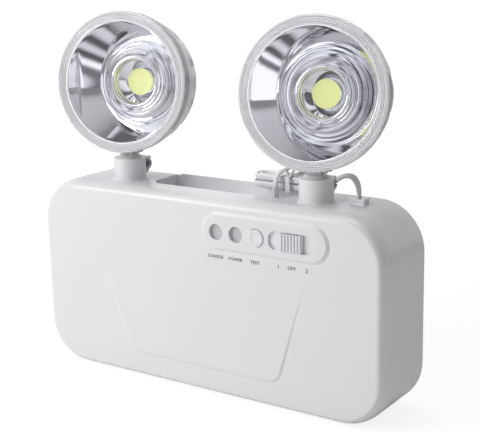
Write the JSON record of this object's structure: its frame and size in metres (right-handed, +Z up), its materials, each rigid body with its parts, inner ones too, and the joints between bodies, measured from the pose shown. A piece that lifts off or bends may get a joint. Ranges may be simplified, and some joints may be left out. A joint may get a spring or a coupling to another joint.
{
  "type": "emergency light",
  "caption": "Twin-head emergency light in a rounded white case, with two swivelling round lamps, test button, three-way switch, hand recess and a tied power cord.",
  "frame": {"origin": "middle of the base, at mid depth of the case", "axes": "X to the right seen from the front, front face towards -Y, Z up"},
  "size_m": [0.28, 0.0706, 0.2564],
  "materials": {
    "white_abs": "gloss white with a faint lilac cast",
    "cord_pvc": "soft satin white PVC",
    "zinc_steel": "dull zinc plate",
    "black_steel": "satin black oxide",
    "bright_reflector": "bright metallised mirror",
    "clear_lens": "clear polycarbonate",
    "grey_window": "smoked grey window",
    "phosphor": "pale yellow-green phosphor",
    "white_board": "white solder mask on aluminium",
    "sink_aluminium": "plain",
    "led_plastic": "clear-grey epoxy",
    "dark_plastic": "plain",
    "plated_metal": "bright nickel plate",
    "green_board": "green solder mask",
    "battery_case": "dark grey ABS",
    "foam_pad": "soft foam",
    "core_steel": "varnished laminations",
    "coil_tape": "yellow insulating tape",
    "tie_paper": "paper-covered wire"
  },
  "bodies": {
    "case": {"front_shell": "white_abs", "rear_cover": "white_abs", "case_screws": "zinc_steel", "charge_window": "grey_window", "power_window": "grey_window", "indicator_leds": "led_plastic", "push_switch": "dark_plastic", "slide_switch": "plated_metal", "control_board": "green_board", "board_screws": "zinc_steel", "relay": "dark_plastic", "capacitor": "dark_plastic", "battery": "battery_case", "battery_terminals": "plated_metal", "battery_pad": "foam_pad", "transformer_core": "core_steel", "transformer_coil": "coil_tape", "transformer_screws": "zinc_steel", "clamp_screws": "zinc_steel", "clamp_nuts": "zinc_steel", "cord_grommet": "white_abs", "mains_cord": "cord_pvc", "cord_hank": "cord_pvc", "cord_tail": "cord_pvc", "twist_tie": "tie_paper", "plug_body": "white_abs", "plug_pins": "plated_metal"},
    "test_button": {"test_button": "white_abs"},
    "switch_knob": {"switch_knob": "white_abs"},
    "left_swivel": {"left_stem": "white_abs", "left_tilt_screw": "black_steel", "left_tilt_nut": "zinc_steel"},
    "left_lamp": {"left_rear_shell": "white_abs", "left_reflector": "bright_reflector", "left_lens": "clear_lens", "left_led_board": "white_board", "left_led_emitter": "phosphor", "left_heat_sink": "sink_aluminium"},
    "right_swivel": {"right_stem": "white_abs", "right_tilt_screw": "black_steel", "right_tilt_nut": "zinc_steel"},
    "right_lamp": {"right_rear_shell": "white_abs", "right_reflector": "bright_reflector", "right_lens": "clear_lens", "right_led_board": "white_board", "right_led_emitter": "phosphor", "right_heat_sink": "sink_aluminium"}
  },
  "joints": [
    {"name": "left_pan", "type": "hinge", "parent": "case", "child": "left_swivel", "pos_m": [-0.077, -0.0015, 0.1458], "axis": [0, 0, 1], "range_deg": [-104, 76]},
    {"name": "left_tilt", "type": "hinge", "parent": "left_swivel", "child": "left_lamp", "pos_m": [-0.077, -0.0015, 0.1605], "axis": [-0.9703, -0.2419, 0], "range_deg": [-15.5, 19.5]},
    {"name": "right_pan", "type": "hinge", "parent": "case", "child": "right_swivel", "pos_m": [0.077, -0.0015, 0.1458], "axis": [0, 0, 1], "range_deg": [-104, 76]},
    {"name": "right_tilt", "type": "hinge", "parent": "right_swivel", "child": "right_lamp", "pos_m": [0.077, -0.0015, 0.1605], "axis": [-0.9703, -0.2419, 0], "range_deg": [-17.5, 17.5]},
    {"name": "test_press", "type": "slide", "parent": "case", "child": "test_button", "axis": [0, 1, 0], "range_m": [0, 0.0012], "stiffness_N_per_m": 800},
    {"name": "switch_slide", "type": "slide", "parent": "case", "child": "switch_knob", "axis": [1, 0, 0], "range_m": [-0.005, 0.005]}
  ]
}
